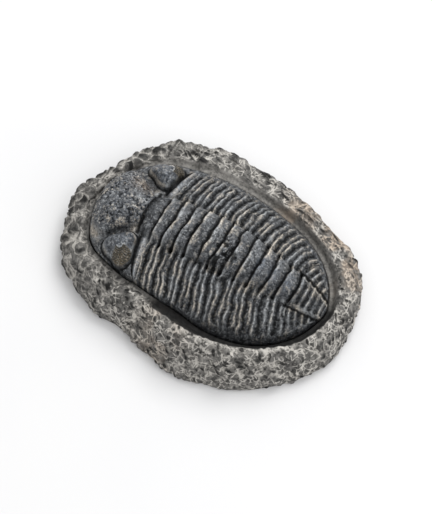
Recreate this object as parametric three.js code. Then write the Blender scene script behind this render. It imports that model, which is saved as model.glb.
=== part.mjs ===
// A trilobite fossil lying in the oval stone that it was freed from by hand tools.
//
// Two pieces: the stone, a flat-bottomed nodule with a hollow cut in its top, and the
// trilobite, one fossil body with a domed head, two eyes, eleven ringed thorax segments
// and a ribbed tail, which sits on the floor of that hollow.
//
// Units are millimetres. The origin is the middle of the stone's flat base, +Z is up,
// +X runs along the body from head to tail, and the animal's left side faces -Y.

import * as THREE from "three";

const { lerp, clamp, smoothstep, euclideanModulo, radToDeg } = THREE.MathUtils;

// Stations along the body
const HEAD_FRONT_X = -35.4;
const HEAD_BACK_X = -15.6;
const CHEEK_X = -14.8;
const SEGMENTS = 11;
const SEGMENT_PITCH = 3.76;
const THORAX_BACK_X = HEAD_BACK_X + SEGMENTS * SEGMENT_PITCH;
const TAIL_RIBS = 5;
const TAIL_RIB_PITCH = 1.95;
const TAIL_END_X = 36;

// The line that the body is laid along is turned a little in the stone
const AXIS_Y = through([
  [HEAD_FRONT_X, 0.4],
  [TAIL_END_X, 1.5],
]);

// Half the body's width behind the cheeks
const BODY_HALF_WIDTH = through([
  [CHEEK_X, 20.6],
  [-6, 21.4],
  [6, 21.2],
  [14.6, 19.9],
  [20.6, 18.2],
  [25.6, 15.6],
  [30.6, 11.2],
  [33.8, 6.6],
  [TAIL_END_X, 1.2],
]);
// How much of the left flank the stone still covers
const LEFT_COVER = through([
  [-32, 0],
  [-24, 2.8],
  [-12, 2.6],
  [0, 2],
  [8, 0.6],
  [13, 0],
]);
// How far the outer ends of a segment or rib lie behind its middle
const SWEEP = through([
  [HEAD_BACK_X, 1.8],
  [0, 3],
  [THORAX_BACK_X, 4],
  [29, 2.8],
  [TAIL_END_X, 0],
]);
// Share of that sweep on the right, where the body lies a little askew
const RIGHT_SWEEP = 0.6;
// How far the middle of a ring of the axis bows back behind its ends
const RING_BOW = through([
  [-20.6, 0],
  [HEAD_BACK_X, 1.2],
  [THORAX_BACK_X, 1.2],
  [TAIL_END_X, 0],
]);

// Heights above the base of the stone: along the furrows beside the axis, and along the rim
const FURROW_HEIGHT = through([
  [-16.6, 17.4],
  [-9, 19.2],
  [0, 20.2],
  [9, 19.3],
  [20.4, 16.4],
  [29, 12.9],
  [TAIL_END_X, 8.8],
]);
const RIM_HEIGHT = through([
  [HEAD_FRONT_X, 11],
  [CHEEK_X, 12],
  [-2, 11],
  [10, 8.6],
  [20.4, 7.2],
  [30, 7.4],
  [TAIL_END_X, 8.6],
]);
const VAULT_POWER = 2.8;

// The raised axis: half its width, and how far it stands above its furrows
const AXIS_START = [-20.6, -18.6];
const AXIS_HALF_WIDTH = through([
  [-20, 5.6],
  [-14, 7.2],
  [0, 7.3],
  [10, 6.9],
  [20.4, 5.4],
  [28, 4.2],
  [33, 3.1],
  [TAIL_END_X, 2],
]);
const AXIS_RISE = through([
  [-20, 3],
  [-14, 4.4],
  [0, 5.2],
  [10, 4.8],
  [20.4, 3.4],
  [28, 2.3],
  [TAIL_END_X, 0.2],
]);
const AXIS_FURROW = { depth: 0.6, width: 1.1 };
const AXIS_ROUNDNESS = 0.6;

// Relief from one crest to the next, as shares of a segment, on the axis and on the flanks
const RING_RELIEF = through([
  [0, 0.5],
  [0.3, 0.4],
  [0.62, 0],
  [0.81, -0.8],
  [1, 0.5],
]);
const FLANK_RELIEF = through([
  [0, 0.45],
  [0.3, -0.6],
  [0.62, 0.4],
  [0.81, -0.3],
  [1, 0.45],
]);
const SEGMENT_ROWS = [0, 0.3, 0.62, 0.81];
// Where the relief passes from ring to flank, as a share of the axis's half width, and where it starts
// behind the glabella, in segments ahead of the thorax
const RING_TO_FLANK = [0.85, 1.1];
const NECK_RING = [-1, -0.4];
const FLANK_FADE = [0.84, 1];
const RIB_RELIEF = 0.45;
const TAIL_BORDER_FADE = [0.78, 0.92];

// The glabella, the swollen middle of the head: half its width and its rise along the axis
const GLABELLA_BACK_X = -19;
const GLABELLA_HALF_WIDTH = through([
  [-35.3, 0.1],
  [-34.5, 5.2],
  [-33, 8.4],
  [-30.8, 10.7],
  [-28.2, 10.9],
  [-25.6, 9],
  [-23.2, 6.9],
  [-21, 5.6],
  [GLABELLA_BACK_X, 5],
]);
const GLABELLA_RISE = through([
  [-35.3, 0.2],
  [-34.3, 4.4],
  [-32.2, 6.9],
  [-29.4, 7.8],
  [-26.4, 7],
  [-23.4, 5.2],
  [-21, 3.6],
  [GLABELLA_BACK_X, 2.2],
]);
const GLABELLA_SIDE_POWER = 2.2;
const GLABELLA_ROUNDNESS = 0.55;

// One eye, mirrored to the other side, and the raised back border of the cheeks
const EYE = { x: -21.2, y: 13.2, halfLength: 4.8, halfWidth: 4.3, rise: 5, power: 2.6, roundness: 0.6 };
const CHEEK_BORDER = { crest: 0.95, furrow: 0.85, spread: 0.05, height: 0.8, inner: [5, 8] };

// Outline of the stone at its widest, anticlockwise from the tail end, seen from above
const STONE_OUTLINE = [
  [43.9, 0],
  [43.5, 7],
  [41.6, 13.8],
  [38, 19.4],
  [32.4, 23.4],
  [26, 26],
  [15, 29.8],
  [5, 31.4],
  [-5, 32.3],
  [-16.2, 31.5],
  [-22, 30],
  [-27.6, 27.4],
  [-31.8, 23],
  [-35.6, 18.2],
  [-38.4, 12.4],
  [-41.8, 6.6],
  [-43.9, 0],
  [-43.2, -6.9],
  [-40.4, -13.1],
  [-36.6, -18.6],
  [-31.5, -22.7],
  [-20, -27.4],
  [-14, -27.6],
  [-5, -29.9],
  [5.2, -32.2],
  [10.6, -32.2],
  [16, -30.6],
  [26.8, -26.6],
  [31.6, -22.9],
  [36.4, -18.4],
  [40.5, -13],
  [43.5, -6.8],
];

// The hollow that holds the body
const SEAT_HEIGHT = 5;
const HOLLOW_GAP = 0.45;
const HOLLOW_DROP = 0.8;

// By direction from the middle, in degrees from the tail towards the right side: the rise of the
// bank around the hollow, and the height of the brim where the top turns into the side
const BANK_RISE = through([
  [-180, 1.6],
  [-120, 1.2],
  [-90, 1.8],
  [-65, 4.6],
  [-40, 5.6],
  [-15, 4.2],
  [0, 2.8],
  [20, 3],
  [60, 2.6],
  [100, 1.2],
  [140, 1.2],
  [180, 1.6],
]);
const BRIM_HEIGHT = through([
  [-180, 8],
  [-135, 5],
  [-90, 3],
  [-45, 3],
  [0, 4.6],
  [45, 7.2],
  [90, 9.4],
  [135, 9.2],
  [180, 8],
]);

// The stone's section in rings: share of the way out from the hollow, then share of the bank's
// rise, of the fall from bank to brim, or of the brim's height, and share of the lumps
const BANK_RINGS = [
  { out: 0, bank: 0, lumps: 0 },
  { out: 0.12, bank: 0.1, lumps: 0 },
  { out: 0.22, bank: 0.75, lumps: 0.2 },
  { out: 0.31, bank: 1, lumps: 0.5 },
];
const TOP_RINGS = [
  { out: 0.44, fall: 0.1, lumps: 1 },
  { out: 0.58, fall: 0.26, lumps: 1 },
  { out: 0.7, fall: 0.46, lumps: 1 },
  { out: 0.82, fall: 0.68, lumps: 1 },
  { out: 0.93, fall: 0.9, lumps: 0.9 },
];
const SIDE_RINGS = [
  { out: 0.98, brim: 0.85, lumps: 0.5 },
  { out: 1, brim: 0.5, lumps: 0.2 },
  { out: 0.99, brim: 0.2, lumps: 0.1 },
  { out: 0.97, brim: 0, lumps: 0 },
];
const LUMPS = [
  { size: 6.5, height: 1.1 },
  { size: 3.3, height: 0.7 },
];
const STONE_SIDES = 92;
const STONE_OVALNESS = 0.82;
const OUTLINE_STEPS = 256;

const HEAD_ROWS = 15;
const BODY_COLUMNS = 40;

// A smooth curve through a few [place, value] points, level beyond the first and the last.
function through(points) {
  const last = points.length - 1;
  const slope = (i) => {
    const before = points[Math.max(i - 1, 0)];
    const after = points[Math.min(i + 1, last)];
    return (after[1] - before[1]) / (after[0] - before[0]);
  };
  return (place) => {
    if (place <= points[0][0]) return points[0][1];
    if (place >= points[last][0]) return points[last][1];
    const i = points.findIndex((p) => p[0] > place) - 1;
    const span = points[i + 1][0] - points[i][0];
    const rise = points[i + 1][1] - points[i][1];
    const t = (place - points[i][0]) / span;
    const m0 = slope(i) * span;
    const m1 = slope(i + 1) * span;
    return points[i][1] + t * (m0 + t * (3 * rise - 2 * m0 - m1 + t * (m0 + m1 - 2 * rise)));
  };
}

const bell = (offset, width) => Math.exp(-((offset / width) ** 2));
const headShare = (station) => clamp((station - HEAD_FRONT_X) / (HEAD_BACK_X - HEAD_FRONT_X), 0, 1);

// Place seen from above, beside the axis, of a point at a station and a share across from -1 to 1,
// and how far across the whole flank it lies, which differs on the left where the stone covers it.
// The head's rows fan from its elliptical front to the back edge of the cheeks.
function planPoint(station, across) {
  const sweep = SWEEP(station) * (across > 0 ? RIGHT_SWEEP : 1);
  const back = Math.max(station, HEAD_BACK_X);
  const share = headShare(station);
  const front = CHEEK_X - (CHEEK_X - HEAD_FRONT_X) * Math.sqrt(Math.max(1 - across ** 2, 0));
  const swept = lerp(front, back + sweep * across ** 2, share);
  const half = lerp(BODY_HALF_WIDTH(CHEEK_X), BODY_HALF_WIDTH(back + sweep), share);
  const flank = across < 0 ? across * (1 - LEFT_COVER(swept) / half) : across;
  const beside = Math.min(Math.abs(half * flank) / AXIS_HALF_WIDTH(swept), 1);
  return [swept + RING_BOW(station) * (1 - beside ** 2), half * flank, flank];
}

// The plain vault of the body, without axis, rings or head.
function vaultHeight(station, flank) {
  const rim = RIM_HEIGHT(station);
  const vault = lerp(FURROW_HEIGHT(station), rim, Math.abs(flank) ** VAULT_POWER);
  return lerp(rim, vault, 1 - (1 - headShare(station)) ** 2);
}

// The axis and its furrows, from behind the glabella to the tail.
function axisHeight(x, y) {
  const half = AXIS_HALF_WIDTH(x);
  const beside = Math.min(Math.abs(y) / half, 1);
  const dome = AXIS_RISE(x) * (1 - beside ** 2) ** AXIS_ROUNDNESS;
  const furrow = AXIS_FURROW.depth * bell(Math.abs(y) - half, AXIS_FURROW.width);
  return smoothstep(x, ...AXIS_START) * (dome - furrow);
}

// Rings and double ridges that cross the thorax, and single ribs that cross the tail.
function ringHeight(station, flank, x, y) {
  const onAxis = 1 - smoothstep(Math.abs(y) / AXIS_HALF_WIDTH(x), ...RING_TO_FLANK);
  const segment = (station - HEAD_BACK_X) / SEGMENT_PITCH;
  if (segment < SEGMENTS) {
    const phase = euclideanModulo(segment, 1);
    const inThorax = segment < 0 ? onAxis * smoothstep(segment, ...NECK_RING) : 1;
    const fade = 1 - smoothstep(Math.abs(flank), ...FLANK_FADE);
    return inThorax * fade * lerp(FLANK_RELIEF(phase), RING_RELIEF(phase), onAxis);
  }
  const rib = (station - THORAX_BACK_X) / TAIL_RIB_PITCH;
  const border = 1 - smoothstep(Math.abs(flank), ...TAIL_BORDER_FADE);
  return rib < TAIL_RIBS ? -border * RIB_RELIEF * Math.cos(2 * Math.PI * rib) : 0;
}

// The glabella, the eyes and the raised back border of the cheeks.
function headHeight(station, flank, x, y) {
  const beside = x < GLABELLA_BACK_X ? Math.min(Math.abs(y) / GLABELLA_HALF_WIDTH(x), 1) : 1;
  const dome = GLABELLA_RISE(x) * (1 - beside ** GLABELLA_SIDE_POWER) ** GLABELLA_ROUNDNESS;
  const fromEye = Math.hypot((x - EYE.x) / EYE.halfLength, (Math.abs(y) - EYE.y) / EYE.halfWidth);
  const eye = EYE.rise * (1 - Math.min(fromEye, 1) ** EYE.power) ** EYE.roundness;
  const { crest, furrow, spread, height, inner } = CHEEK_BORDER;
  const share = headShare(station);
  const border = height * (bell(share - crest, spread) - bell(share - furrow, spread));
  const onCheek = station > HEAD_BACK_X ? 0 : smoothstep(Math.abs(y), ...inner);
  const fade = 1 - smoothstep(Math.abs(flank), ...FLANK_FADE);
  return Math.max(dome, eye) + onCheek * fade * border;
}

function dorsalPoint(station, across) {
  const [x, y, flank] = planPoint(station, across);
  const rings = ringHeight(station, flank, x, y);
  const head = headHeight(station, flank, x, y);
  const height = vaultHeight(station, flank) + axisHeight(x, y) + rings + head;
  return new THREE.Vector3(x, AXIS_Y(x) + y, height);
}

// Stations of the rows of points, close where a groove or a crest needs a row of its own.
function bodyStations() {
  const stations = [];
  for (let i = 0; i < HEAD_ROWS; i++) {
    stations.push(lerp(HEAD_FRONT_X, HEAD_BACK_X, i / HEAD_ROWS));
  }
  for (let i = 0; i < SEGMENTS; i++) {
    stations.push(...SEGMENT_ROWS.map((phase) => HEAD_BACK_X + (i + phase) * SEGMENT_PITCH));
  }
  for (let half = 0; half <= 2 * TAIL_RIBS; half++) {
    stations.push(THORAX_BACK_X + (half / 2) * TAIL_RIB_PITCH);
  }
  return [...stations, TAIL_END_X];
}

// Shares across the body, closer together towards the steep flanks.
function bodyShares() {
  return Array.from({ length: BODY_COLUMNS + 1 }, (_, j) => {
    const even = (2 * j) / BODY_COLUMNS - 1;
    return (even + Math.sin((even * Math.PI) / 2)) / 2;
  });
}

// Gathers the points and triangles of one closed surface.
class Surface {
  positions = [];
  triangles = [];

  row(points) {
    return points.map((p) => this.positions.push(p.x, p.y, p.z) / 3 - 1);
  }

  at(i) {
    return new THREE.Vector3().fromArray(this.positions, 3 * i);
  }

  quad(a, b, c, d) {
    this.triangles.push(a, b, c, a, c, d);
  }

  // A band between two rings of points that run anticlockwise seen from above, facing outwards.
  band(lower, upper) {
    lower.forEach((a, i) => {
      const next = (i + 1) % lower.length;
      this.quad(a, lower[next], upper[next], upper[i]);
    });
  }

  // A flat lid over a ring that runs anticlockwise seen from above.
  lid(ring, facesUp) {
    const contour = ring.map((i) => this.at(i));
    for (const [a, b, c] of THREE.ShapeUtils.triangulateShape(contour, [])) {
      this.triangles.push(ring[a], ring[facesUp ? b : c], ring[facesUp ? c : b]);
    }
  }

  geometry() {
    const made = new THREE.BufferGeometry();
    made.setAttribute("position", new THREE.Float32BufferAttribute(this.positions, 3));
    made.setIndex(this.triangles);
    made.computeVertexNormals();
    return made;
  }
}

// The rim of a sheet of rows, anticlockwise seen from above.
function rimOf(rows) {
  const middle = rows.slice(1, -1);
  const left = middle.map((row) => row[0]);
  const right = middle.map((row) => row.at(-1)).toReversed();
  return [...rows[0].toReversed(), ...left, ...rows.at(-1), ...right];
}

function bodyRows() {
  const shares = bodyShares();
  return bodyStations().map((station) => shares.map((share) => dorsalPoint(station, share)));
}

function trilobiteGeometry() {
  const surface = new Surface();
  const rows = bodyRows().map((row) => surface.row(row));
  for (let i = 0; i + 1 < rows.length; i++) {
    for (let j = 0; j < BODY_COLUMNS; j++) {
      surface.quad(rows[i][j], rows[i + 1][j], rows[i + 1][j + 1], rows[i][j + 1]);
    }
  }
  const rim = rimOf(rows);
  const sole = surface.row(rim.map((i) => surface.at(i).setZ(SEAT_HEIGHT)));
  surface.band(sole, rim);
  surface.lid(sole, false);
  return surface.geometry();
}

// Points as direction, distance and height about the upright axis, in order of direction.
function polar(points) {
  const found = points.map(({ x, y, z }) => {
    return { turn: Math.atan2(y, x), distance: Math.hypot(x, y), height: z };
  });
  return found.sort((a, b) => a.turn - b.turn);
}

// Distance and height in a direction, between the two points next to it.
function towards(ring, turn) {
  const next = ring.findIndex((p) => p.turn > turn);
  const after = ring[Math.max(next, 0)];
  const before = ring.at(Math.max(next, 0) - 1);
  const span = euclideanModulo(after.turn - before.turn, 2 * Math.PI);
  const t = span > 0 ? euclideanModulo(turn - before.turn, 2 * Math.PI) / span : 0;
  return [lerp(before.distance, after.distance, t), lerp(before.height, after.height, t)];
}

// Smooth lumps from a lattice of fixed heights that look random.
function lattice(i, j) {
  const wave = Math.sin(i * 127.1 + j * 311.7) * 43758.5453;
  return 2 * (wave - Math.floor(wave)) - 1;
}

function swell(u, v) {
  const i = Math.floor(u);
  const j = Math.floor(v);
  const s = smoothstep(u - i, 0, 1);
  const t = smoothstep(v - j, 0, 1);
  const near = lerp(lattice(i, j), lattice(i + 1, j), s);
  const far = lerp(lattice(i, j + 1), lattice(i + 1, j + 1), s);
  return lerp(near, far, t);
}

function lumpHeight(x, y) {
  return LUMPS.reduce((sum, { size, height }) => sum + height * swell(x / size, y / size), 0);
}

// Height of a ring of the stone where the hollow's edge, the bank and the brim have these heights.
function ringLevel(ring, edge, bank, brim) {
  if ("bank" in ring) return lerp(edge, bank, ring.bank);
  if ("fall" in ring) return lerp(bank, brim, ring.fall);
  return brim * ring.brim;
}

function stoneGeometry() {
  const surface = new Surface();
  const corners = STONE_OUTLINE.map(([x, y]) => new THREE.Vector3(x, y, 0));
  const outline = polar(new THREE.CatmullRomCurve3(corners, true).getPoints(OUTLINE_STEPS).slice(1));
  const hollow = polar(rimOf(bodyRows()));
  const directions = Array.from({ length: STONE_SIDES }, (_, k) => {
    const even = ((k + 0.5) / STONE_SIDES) * 2 * Math.PI - Math.PI;
    return Math.atan2(STONE_OVALNESS * Math.sin(even), Math.cos(even));
  });
  const ringPoint = (turn, ring) => {
    const [reach, rim] = towards(hollow, turn);
    const [girth] = towards(outline, turn);
    const distance = lerp(reach + HOLLOW_GAP, girth, ring.out);
    const x = distance * Math.cos(turn);
    const y = distance * Math.sin(turn);
    const edge = rim - HOLLOW_DROP;
    const bank = edge + BANK_RISE(radToDeg(turn));
    const level = ringLevel(ring, edge, bank, BRIM_HEIGHT(radToDeg(turn)));
    return new THREE.Vector3(x, y, level + ring.lumps * lumpHeight(x, y));
  };
  const allRings = [...BANK_RINGS, ...TOP_RINGS, ...SIDE_RINGS];
  const rings = allRings.map((ring) => surface.row(directions.map((turn) => ringPoint(turn, ring))));
  const floor = surface.row(rings[0].map((i) => surface.at(i).setZ(SEAT_HEIGHT)));
  surface.lid(floor, true);
  surface.band(rings[0], floor);
  for (let i = 0; i + 1 < rings.length; i++) surface.band(rings[i + 1], rings[i]);
  surface.lid(rings.at(-1), false);
  return surface.geometry();
}

function piece(name, geometry, material) {
  const mesh = new THREE.Mesh(geometry, material);
  mesh.name = name;
  return mesh;
}

const stoneFinish = new THREE.MeshStandardMaterial({ color: 0x5c5751, roughness: 0.9, metalness: 0 });
const fossilFinish = new THREE.MeshStandardMaterial({ color: 0x2a2c30, roughness: 0.55, metalness: 0 });

const fossil = new THREE.Group();
fossil.add(piece("stone", stoneGeometry(), stoneFinish));
fossil.add(piece("trilobite", trilobiteGeometry(), fossilFinish));

export default fossil;
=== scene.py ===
"""Looks of a trilobite fossil that lies in its hand-chiselled stone.

Shapes are worked out in millimetres in the part's frame, with +X from head to tail and +Z up,
and made into meshes in metres. Each piece is a fine closed mesh that stands for one CAD node.
Marks such as crests, painted shade in hollows and tool strokes are stored on the points for the finishes to
read.
"""

import logging
import math
from dataclasses import dataclass, field
from enum import Enum

import bpy
import numpy as np
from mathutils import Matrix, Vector


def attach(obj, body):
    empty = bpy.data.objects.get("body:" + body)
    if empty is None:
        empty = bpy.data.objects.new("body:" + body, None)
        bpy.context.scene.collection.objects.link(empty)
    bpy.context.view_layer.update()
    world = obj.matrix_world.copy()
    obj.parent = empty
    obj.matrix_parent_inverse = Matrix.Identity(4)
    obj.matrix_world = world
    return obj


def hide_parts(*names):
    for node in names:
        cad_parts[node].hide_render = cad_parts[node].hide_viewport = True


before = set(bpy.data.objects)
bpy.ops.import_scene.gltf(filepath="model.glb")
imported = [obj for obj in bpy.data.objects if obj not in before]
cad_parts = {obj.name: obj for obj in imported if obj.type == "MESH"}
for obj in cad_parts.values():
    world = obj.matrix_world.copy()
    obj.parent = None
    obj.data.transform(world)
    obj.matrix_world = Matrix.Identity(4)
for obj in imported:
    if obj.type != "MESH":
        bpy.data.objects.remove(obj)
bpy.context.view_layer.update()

MM = 0.001
Array = np.ndarray
Colour = tuple[float, float, float]
Pair = tuple[float, float]
Span = tuple[float, float, float, float]
Thing = bpy.types.Object
Material = bpy.types.Material
Socket = bpy.types.NodeSocket
log = logging.getLogger("trilobite")

HASH_STEPS = (374761393, 668265263, 1442695041)
HASH_SEED = 7919
HASH_MIX = 1274126177
HASH_LAST = 1103515245
WORD = 0xFFFFFFFF
OCTAVE_SHIFT = 17.3
LATTICE_STEPS: Pair = (127.1, 311.7)
LATTICE_GAIN = 43758.5453


class Mark(Enum):
    """Amounts from 0 to 1 that are stored on the points of a mesh."""

    # Pale worn crests and flecks, and in the broken patch also a few painted glints.
    CREST_AND_GLINT = "crest"
    # Painted shade: furrows, grooves, gaps, pits and the left flank's edge are darkened toward black, along
    # with some dark pores of the grain.
    HOLLOW_SHADE = "hollow"
    BLUE = "blue"
    BARE = "bare"
    NET = "net"
    ROUGH = "rough"
    BEAD = "bead"
    PALE = "pale"
    # Dark tool pans of the stone, and painted shade on the left wall of the hollow round the fossil.
    PIT_AND_SHADE = "pit"
    WARM = "warm"
    TOOLED = "tooled"


class Side(Enum):
    """Side of the animal, as the sign of Y."""

    LEFT = -1
    RIGHT = 1


def lerp(start: Array, end: Array, share: Array) -> Array:
    """Value at a share of the way from start to end."""
    return start + (end - start) * share


def smoothstep(value: Array, low: float, high: float) -> Array:
    """Share from 0 to 1 that eases in at low and out at high."""
    t = np.clip((value - low) / (high - low), 0, 1)
    return t * t * (3 - 2 * t)


def fade(value: Array, low: float, high: float) -> Array:
    """Share from 1 to 0 that eases out at low and in at high."""
    return 1 - smoothstep(value, low, high)


def bell(offset: Array, width: float) -> Array:
    """A smooth hump of height 1 about an offset of 0."""
    return np.exp(-((offset / width) ** 2))


@dataclass(frozen=True)
class Curve:
    """A smooth curve through a few (place, value) points, level beyond its ends."""

    points: tuple[Pair, ...]

    def __call__(self, place: Array) -> Array:
        """Value of the curve at each place."""
        at, value = np.array(self.points, float).T
        before = np.maximum(np.arange(len(at)) - 1, 0)
        after = np.minimum(np.arange(len(at)) + 1, len(at) - 1)
        slope = (value[after] - value[before]) / (at[after] - at[before])
        place = np.clip(place, at[0], at[-1])
        i = np.clip(np.searchsorted(at, place, side="right") - 1, 0, len(at) - 2)
        span = at[i + 1] - at[i]
        rise = value[i + 1] - value[i]
        t = (place - at[i]) / span
        m0 = slope[i] * span
        m1 = slope[i + 1] * span
        return value[i] + t * (m0 + t * (3 * rise - 2 * m0 - m1 + t * (m0 + m1 - 2 * rise)))


@dataclass(frozen=True)
class Hump:
    """A smooth hump of a width and height about a place."""

    place: float
    width: float
    height: float = 1.0

    def __call__(self, at: Array, scale: float = 1.0) -> Array:
        """Height of the hump at each place, with the width in scaled units."""
        return self.height * bell((at - self.place) * scale, self.width)


@dataclass(frozen=True)
class Layer:
    """A layer of noise: the size of its lumps in millimetres, its start and its octaves."""

    size: float
    start: float
    octaves: int


@dataclass(frozen=True)
class Noise:
    """Repeatable noise in space, from a hash of whole-number cells."""

    seed: int

    def hash(self, cells: Array, channel: int = 0) -> Array:
        """Evenly spread numbers from 0 to 1 for whole-number cells.

        Args:
            cells: Whole numbers, shape (n, 3).
            channel: Which of several independent numbers to give.

        Returns:
            One number for each cell.
        """
        whole = cells.astype(np.int64)
        mixed = whole @ np.array(HASH_STEPS, np.int64)
        mixed = (mixed + (self.seed * HASH_SEED + channel) * HASH_MIX) & WORD
        mixed = ((mixed ^ (mixed >> 13)) * HASH_MIX) & WORD
        mixed = ((mixed ^ (mixed >> 16)) * HASH_LAST) & WORD
        return (mixed ^ (mixed >> 15)) / (WORD + 1)

    def value(self, points: Array) -> Array:
        """Smooth noise from -1 to 1 at points (n, 3), with lumps about one unit across."""
        base = np.floor(points)
        ease = smoothstep(points - base, 0, 1)
        total = np.zeros(len(points))
        for corner in np.ndindex(2, 2, 2):
            weight = np.prod(np.where(corner, ease, 1 - ease), axis=1)
            total += weight * self.hash(base + corner)
        return 2 * total - 1

    def fractal(self, places: Array, layer: Layer) -> Array:
        """Noise of a layer at places (n, 3), with finer and weaker octaves over the first."""
        points = places / layer.size + layer.start
        octaves = [0.5**k * self.value(points * 2**k + OCTAVE_SHIFT * k) for k in range(layer.octaves)]
        return np.sum(octaves, axis=0)

    def cells(self, points: Array) -> tuple[Array, Array, Array]:
        """Nearest of scattered seeds, one to each unit cell.

        Args:
            points: Places, shape (n, 3).

        Returns:
            Distance to the nearest seed, how much further the next one is, and a number
            from 0 to 1 of the nearest seed's own.
        """
        base = np.floor(points)
        near = np.full(len(points), np.inf)
        second = near.copy()
        number = np.zeros(len(points))
        for step in np.ndindex(3, 3, 3):
            cell = base + np.array(step) - 1
            seeds = cell + np.stack([self.hash(cell, channel) for channel in (1, 2, 3)], axis=1)
            away = np.linalg.norm(seeds - points, axis=1)
            closer = away < near
            second = np.where(closer, near, np.minimum(second, away))
            number = np.where(closer, self.hash(cell, 4), number)
            near = np.where(closer, away, near)
        return near, second - near, number


@dataclass
class Skin:
    """Height and marks of a surface while features are laid on it one by one."""

    height: Array
    marks: dict[Mark, Array] = field(default_factory=dict)

    def lay(self, height: Array, **amounts: Array) -> None:
        """Add height, and raise marks, named in lower case, to at least these amounts."""
        self.height = self.height + height
        for name, amount in amounts.items():
            mark = Mark(name)
            before = self.marks.get(mark, np.zeros_like(self.height))
            self.marks[mark] = np.maximum(before, np.clip(amount, 0, 1))

    def quieten(self, mark: Mark, share: Array) -> None:
        """Take a share of a mark away."""
        self.marks[mark] = self.marks[mark] * (1 - np.clip(share, 0, 1))


def grid_normals(points: Array, around: bool) -> Array:
    """Unit normals of a grid of points (rows, columns, 3), from its first axis to its second.

    Args:
        points: The grid.
        around: Whether the columns close into a ring.

    Returns:
        Normals of the same shape.
    """
    along = np.gradient(points, axis=0)
    if around:
        across = np.roll(points, -1, axis=1) - np.roll(points, 1, axis=1)
    else:
        across = np.gradient(points, axis=1)
    normals = np.cross(along, across)
    return normals / np.maximum(np.linalg.norm(normals, axis=2, keepdims=True), 1e-9)


def grid_quads(rows: int, columns: int, around: bool) -> Array:
    """Corner numbers of the four-sided faces between the rows of a grid."""
    last = columns if around else columns - 1
    i, j = np.meshgrid(np.arange(rows - 1), np.arange(last), indexing="ij")
    after = (j + 1) % columns
    here, below = i * columns, (i + 1) * columns
    corners = [here + j, below + j, below + after, here + after]
    return np.stack(corners, axis=-1).reshape(-1, 4)


def band(lower: Array, upper: Array) -> Array:
    """Corner numbers of faces between two closed rings of points that face outwards."""
    return np.stack([lower, np.roll(lower, -1), np.roll(upper, -1), upper], axis=1)


def fan(ring: Array, middle: int, up: bool) -> Array:
    """Corner numbers of the triangles from a closed ring of points to its middle point."""
    after = np.roll(ring, -1)
    centre = np.full(len(ring), middle)
    return np.stack([ring, after, centre] if up else [after, ring, centre], axis=1)


def make_mesh(name: str, points: Array, faces: list[Array], marks: dict[Mark, Array]) -> Thing:
    """A smooth-shaded mesh object at the origin.

    Args:
        name: Name of the object.
        points: Places in millimetres, shape (n, 3).
        faces: Arrays of corner numbers, one row to a face.
        marks: Amounts for the first points of the mesh; the rest get 0.

    Returns:
        The object, linked to the scene.
    """
    mesh = bpy.data.meshes.new(name)
    mesh.from_pydata(points * MM, [], [corners for some in faces for corners in some.tolist()])
    for mark, amounts in marks.items():
        values = np.zeros(len(points), np.float32)
        values[: amounts.size] = amounts.ravel()
        mesh.attributes.new(mark.value, "FLOAT", "POINT").data.foreach_set("value", values)
    mesh.polygons.foreach_set("use_smooth", np.ones(len(mesh.polygons), bool))
    mesh.update()
    made = bpy.data.objects.new(name, mesh)
    bpy.context.scene.collection.objects.link(made)
    return made


@dataclass(frozen=True)
class Grain:
    """Noise in a finish: lump size and detail, and the amounts at both ends of a band of it."""

    size: float
    detail: float
    low: float
    high: float
    start: float = 0.0
    end: float = 1.0


@dataclass(frozen=True)
class Relief:
    """Fine relief of a finish: lump size and detail, depth in millimetres and strength."""

    size: float
    detail: float
    depth: float
    strength: float


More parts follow.
